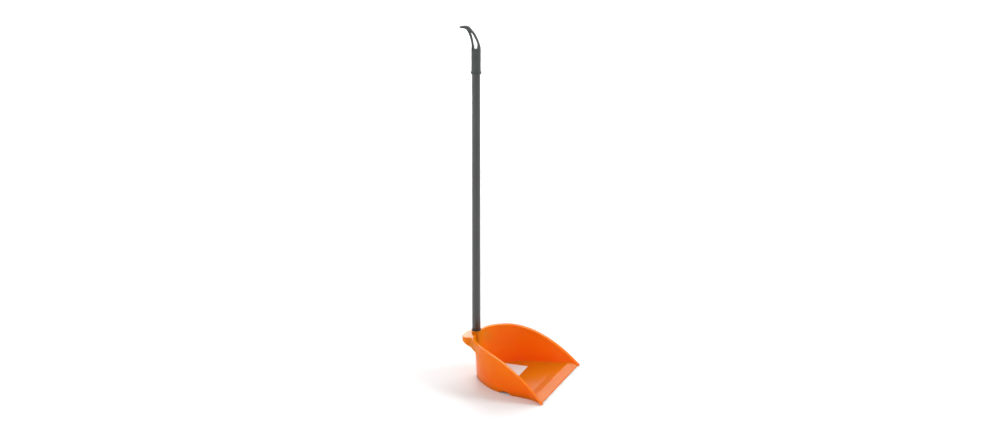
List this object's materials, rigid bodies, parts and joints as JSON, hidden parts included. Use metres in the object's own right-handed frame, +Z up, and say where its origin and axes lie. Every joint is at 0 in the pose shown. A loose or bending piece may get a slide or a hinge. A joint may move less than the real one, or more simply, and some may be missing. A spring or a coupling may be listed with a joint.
{
  "type": "long-handled dustpan",
  "caption": "Orange plastic dustpan with a soft lip strip, a screw-in painted steel tube handle and a grey hanging cap with a hook.",
  "frame": {"origin": "on the ground under the middle of the pan, at the centre of the round foot's flat underside", "axes": "+Z up along the handle; the pan's mouth faces -Y; +X to the right of someone looking along +Y"},
  "size_m": [0.2658, 0.2535, 0.8667],
  "materials": {
    "orange_plastic": "gloss",
    "tube_paint": "satin",
    "grey_plastic": "satin",
    "black_plastic": "satin",
    "soft_strip": "satin",
    "label_paper": "matte"
  },
  "bodies": {
    "pan_body": {"pan": "orange_plastic", "soft_lip_strip": "soft_strip", "floor_label": "label_paper"},
    "ferrule_body": {"threaded_ferrule": "black_plastic"},
    "handle_body": {"handle_tube": "tube_paint", "hanger_cap": "grey_plastic"}
  },
  "joints": [
    {"name": "ferrule_rise", "type": "slide", "parent": "pan_body", "child": "ferrule_body", "axis": [0, 0, 1], "range_m": [0, 0.04]},
    {"name": "handle_unscrew", "type": "hinge", "parent": "ferrule_body", "child": "handle_body", "pos_m": [0, 0.091, 0.11], "axis": [0, 0, 1], "range_deg": [0, 2881]}
  ],
  "couplings": [
    {"joint": "handle_unscrew", "follows": "ferrule_rise", "rad_per_m": 1256.6}
  ]
}
